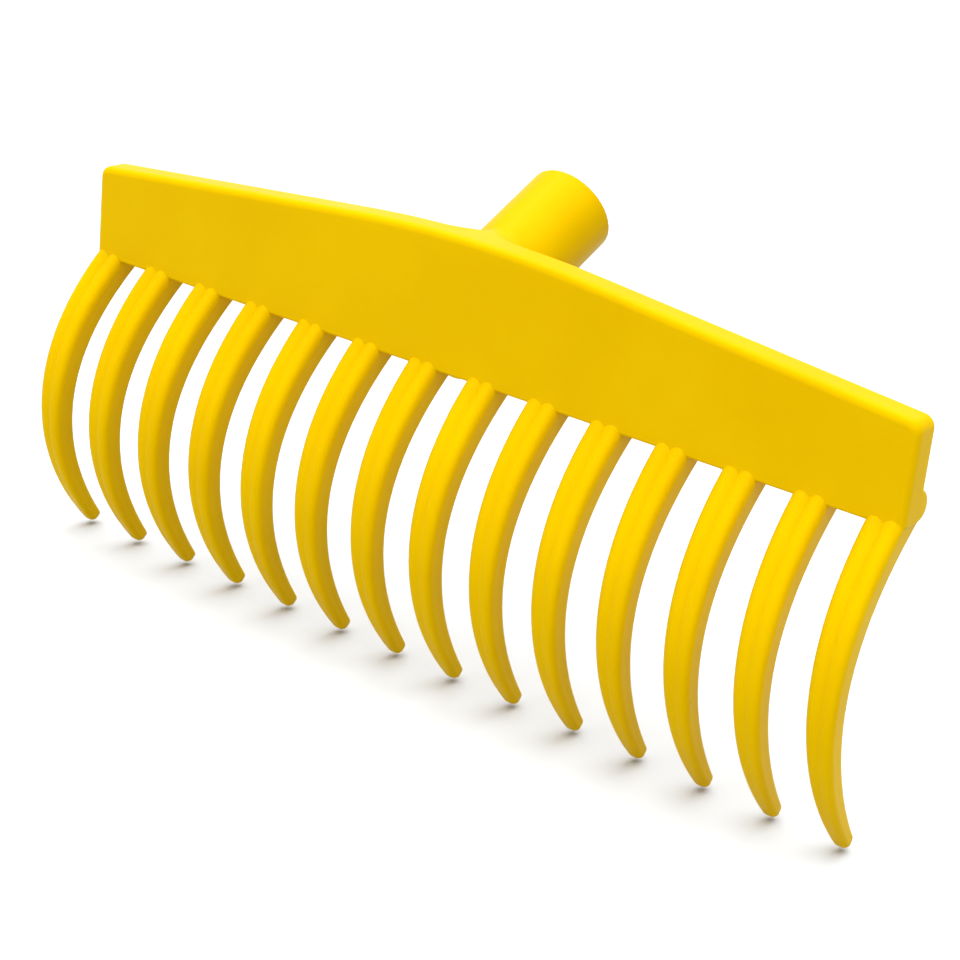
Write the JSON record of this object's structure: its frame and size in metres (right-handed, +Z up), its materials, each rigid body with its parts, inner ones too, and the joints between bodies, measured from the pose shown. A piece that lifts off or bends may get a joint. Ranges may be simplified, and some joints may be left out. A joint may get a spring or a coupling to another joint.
{
  "type": "olive harvesting rake head",
  "caption": "One-piece moulded rake head with a comb of forward-bowed tapering teeth under a cross plate and a slanted pole socket behind it.",
  "frame": {"origin": "on the axis of the pole socket, at the floor of its blind bore where the pole's end seats", "axes": "+X along the plate, +Z up with the plate upright, +Y from the plate's smooth front face towards the socket"},
  "size_m": [0.3026, 0.0816, 0.1505],
  "materials": {
    "yellow_polypropylene": "glossy moulded"
  },
  "bodies": {
    "root": {"rake_head": "yellow_polypropylene"}
  },
  "joints": []
}
